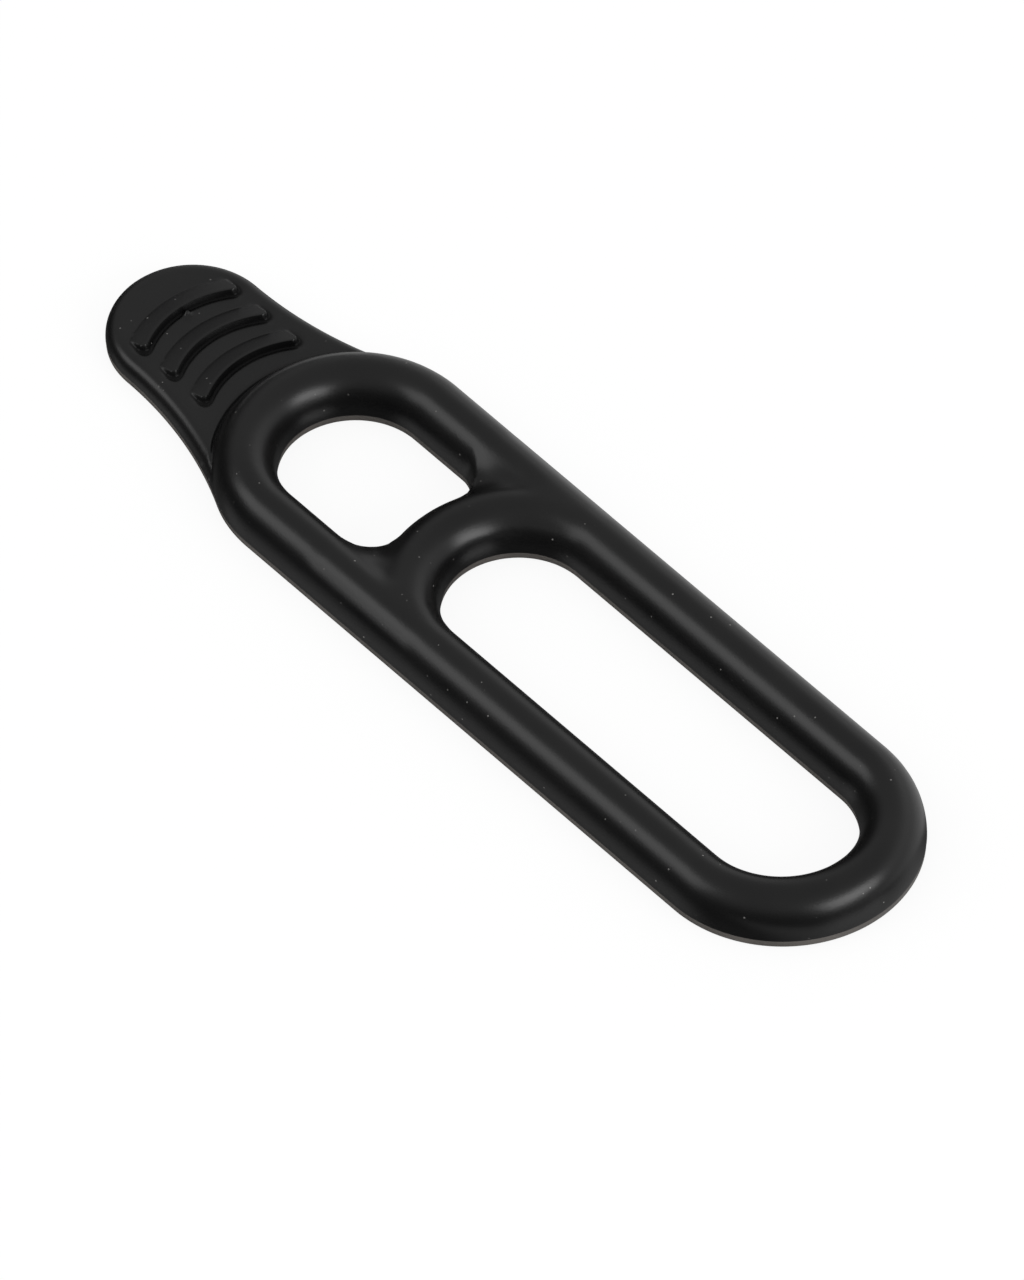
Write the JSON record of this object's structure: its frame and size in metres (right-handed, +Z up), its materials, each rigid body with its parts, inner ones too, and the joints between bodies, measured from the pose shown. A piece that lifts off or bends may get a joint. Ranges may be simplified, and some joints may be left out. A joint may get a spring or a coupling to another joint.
{
  "type": "stretch mounting strap",
  "caption": "Moulded rubber stretch strap with a ribbed pull tab, a head loop round a window, a bridge and a long slotted tail loop.",
  "frame": {"origin": "middle of the strap's bounding box, on the flat underside", "axes": "+X runs along the strap from the pull tab to the tail, +Y to the left, +Z up out of the crowned face"},
  "size_m": [0.08, 0.0204, 0.0038],
  "materials": {
    "rubber": "satin black moulded rubber"
  },
  "bodies": {
    "head_loop": {"head_arc": "rubber", "side_rail_left": "rubber", "side_rail_right": "rubber", "bridge": "rubber", "bridge_root_left": "rubber", "bridge_root_right": "rubber", "root_rail_left": "rubber", "root_rail_right": "rubber", "tab_shoulders": "rubber", "neck_flex": "rubber", "front_flex_left": "rubber", "front_flex_right": "rubber"},
    "tab": {"tab_tip": "rubber", "tab_body": "rubber", "grip_rib_outer": "rubber", "grip_rib_middle": "rubber", "grip_rib_inner": "rubber"},
    "front_rails": {"front_rail_left": "rubber", "front_rail_right": "rubber", "middle_flex_left": "rubber", "middle_flex_right": "rubber"},
    "middle_rails": {"middle_rail_left": "rubber", "middle_rail_right": "rubber", "stretch_left": "rubber", "stretch_right": "rubber"},
    "rear_rails": {"rear_rail_left": "rubber", "rear_rail_right": "rubber", "tail_flex_left": "rubber", "tail_flex_right": "rubber"},
    "tail_loop": {"tail_rail_left": "rubber", "tail_rail_right": "rubber", "tail_arc": "rubber"}
  },
  "joints": [
    {"name": "neck_bend", "type": "hinge", "parent": "head_loop", "child": "tab", "pos_m": [-0.02654, 0, 0.001], "axis": [0, 1, 0], "range_deg": [-65, 45], "stiffness_Nm_per_rad": 0.006, "deforming": ["neck_flex"]},
    {"name": "front_bend", "type": "hinge", "parent": "head_loop", "child": "front_rails", "pos_m": [0.00636, 0, 0.0017], "axis": [0, -1, 0], "range_deg": [-60, 50], "stiffness_Nm_per_rad": 0.02, "deforming": ["front_flex_left", "front_flex_right"]},
    {"name": "middle_bend", "type": "hinge", "parent": "front_rails", "child": "middle_rails", "pos_m": [0.01242, 0, 0.0017], "axis": [0, -1, 0], "range_deg": [-60, 50], "stiffness_Nm_per_rad": 0.02, "deforming": ["middle_flex_left", "middle_flex_right"]},
    {"name": "loop_stretch", "type": "slide", "parent": "middle_rails", "child": "rear_rails", "axis": [1, 0, 0], "range_m": [0, 0.008], "stiffness_N_per_m": 3000, "deforming": ["stretch_left", "stretch_right"]},
    {"name": "tail_bend", "type": "hinge", "parent": "rear_rails", "child": "tail_loop", "pos_m": [0.02494, 0, 0.0017], "axis": [0, -1, 0], "range_deg": [-60, 50], "stiffness_Nm_per_rad": 0.02, "deforming": ["tail_flex_left", "tail_flex_right"]}
  ]
}
